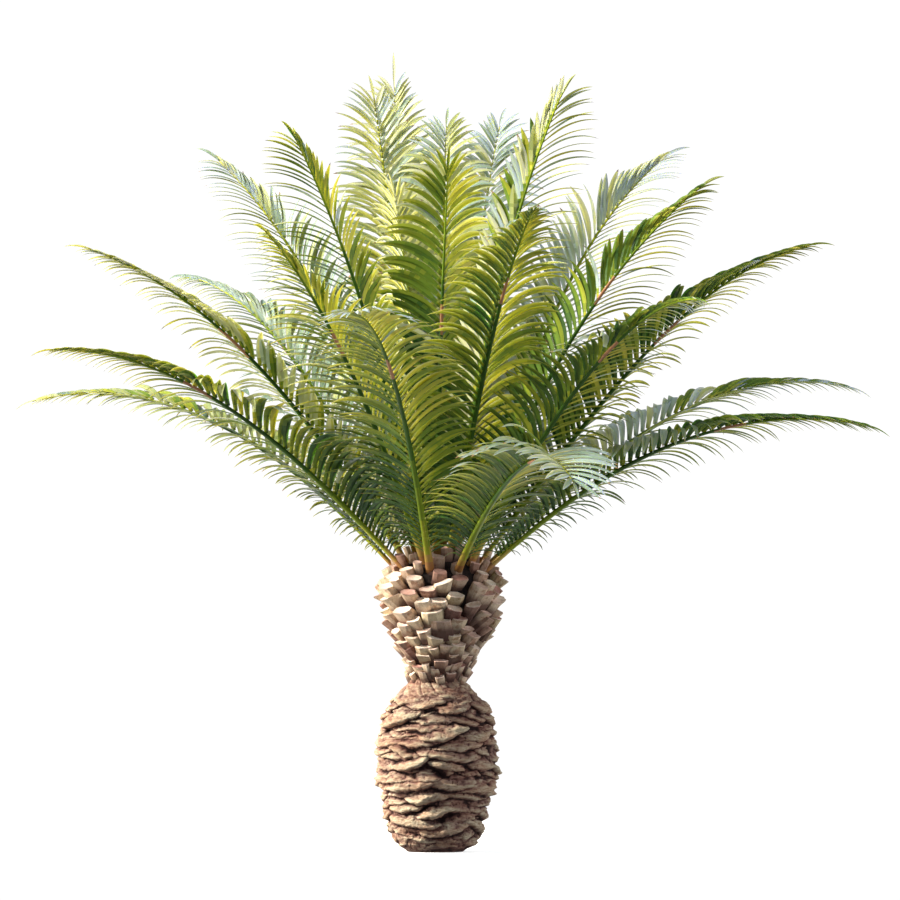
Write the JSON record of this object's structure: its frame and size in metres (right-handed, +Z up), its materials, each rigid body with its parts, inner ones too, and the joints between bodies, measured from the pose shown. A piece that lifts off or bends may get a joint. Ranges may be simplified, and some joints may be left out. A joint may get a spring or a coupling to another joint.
{
  "type": "canary island date palm",
  "caption": "Young feather palm with a swollen scarred trunk, a narrow neck, a collar of cut leaf bases and an arching open crown of long pinnate fronds",
  "frame": {"origin": "Middle of the flat cut under the trunk, at ground level, at the mount ground", "axes": "+Z up along the trunk; -Y towards the viewer of the front view; +X to the viewer's right"},
  "size_m": [5.3448, 6.0062, 4.929],
  "materials": {
    "trunk_bark": "dry scarred palm trunk, sandy beige to grey brown folds with dark creases and fibre",
    "cut_leaf_bases": "cut leaf stalk stubs, beige and olive brown sides with pale pinkish cut faces",
    "frond": "green leaflets, glaucous above and olive to yellow green below, yellow green rib with an orange brown foot"
  },
  "bodies": {
    "root": {"frond_01_inner": "frond", "frond_01_outer": "frond", "frond_02_inner": "frond", "frond_02_outer": "frond", "frond_03_inner": "frond", "frond_03_outer": "frond", "frond_04_inner": "frond", "frond_04_outer": "frond", "frond_05_inner": "frond", "frond_05_outer": "frond", "frond_06_inner": "frond", "frond_06_outer": "frond", "frond_07_inner": "frond", "frond_07_outer": "frond", "frond_08_inner": "frond", "frond_08_outer": "frond", "frond_09_inner": "frond", "frond_09_outer": "frond", "frond_10_inner": "frond", "frond_10_outer": "frond", "frond_11_inner": "frond", "frond_11_outer": "frond", "frond_12_inner": "frond", "frond_12_outer": "frond", "frond_13_inner": "frond", "frond_13_outer": "frond", "frond_14_inner": "frond", "frond_14_outer": "frond", "frond_15_inner": "frond", "frond_15_outer": "frond", "frond_16_inner": "frond", "frond_16_outer": "frond", "frond_17_inner": "frond", "frond_17_outer": "frond", "frond_18_inner": "frond", "frond_18_outer": "frond", "frond_19_inner": "frond", "frond_19_outer": "frond", "frond_20_inner": "frond", "frond_20_outer": "frond", "frond_21_inner": "frond", "frond_21_outer": "frond", "frond_22_inner": "frond", "frond_22_outer": "frond", "frond_23_inner": "frond", "frond_23_outer": "frond", "frond_24_inner": "frond", "frond_24_outer": "frond", "frond_25_inner": "frond", "frond_25_outer": "frond", "frond_26_inner": "frond", "frond_26_outer": "frond", "frond_27_inner": "frond", "frond_27_outer": "frond", "leaf_base_collar": "cut_leaf_bases", "trunk": "trunk_bark"}
  },
  "joints": []
}
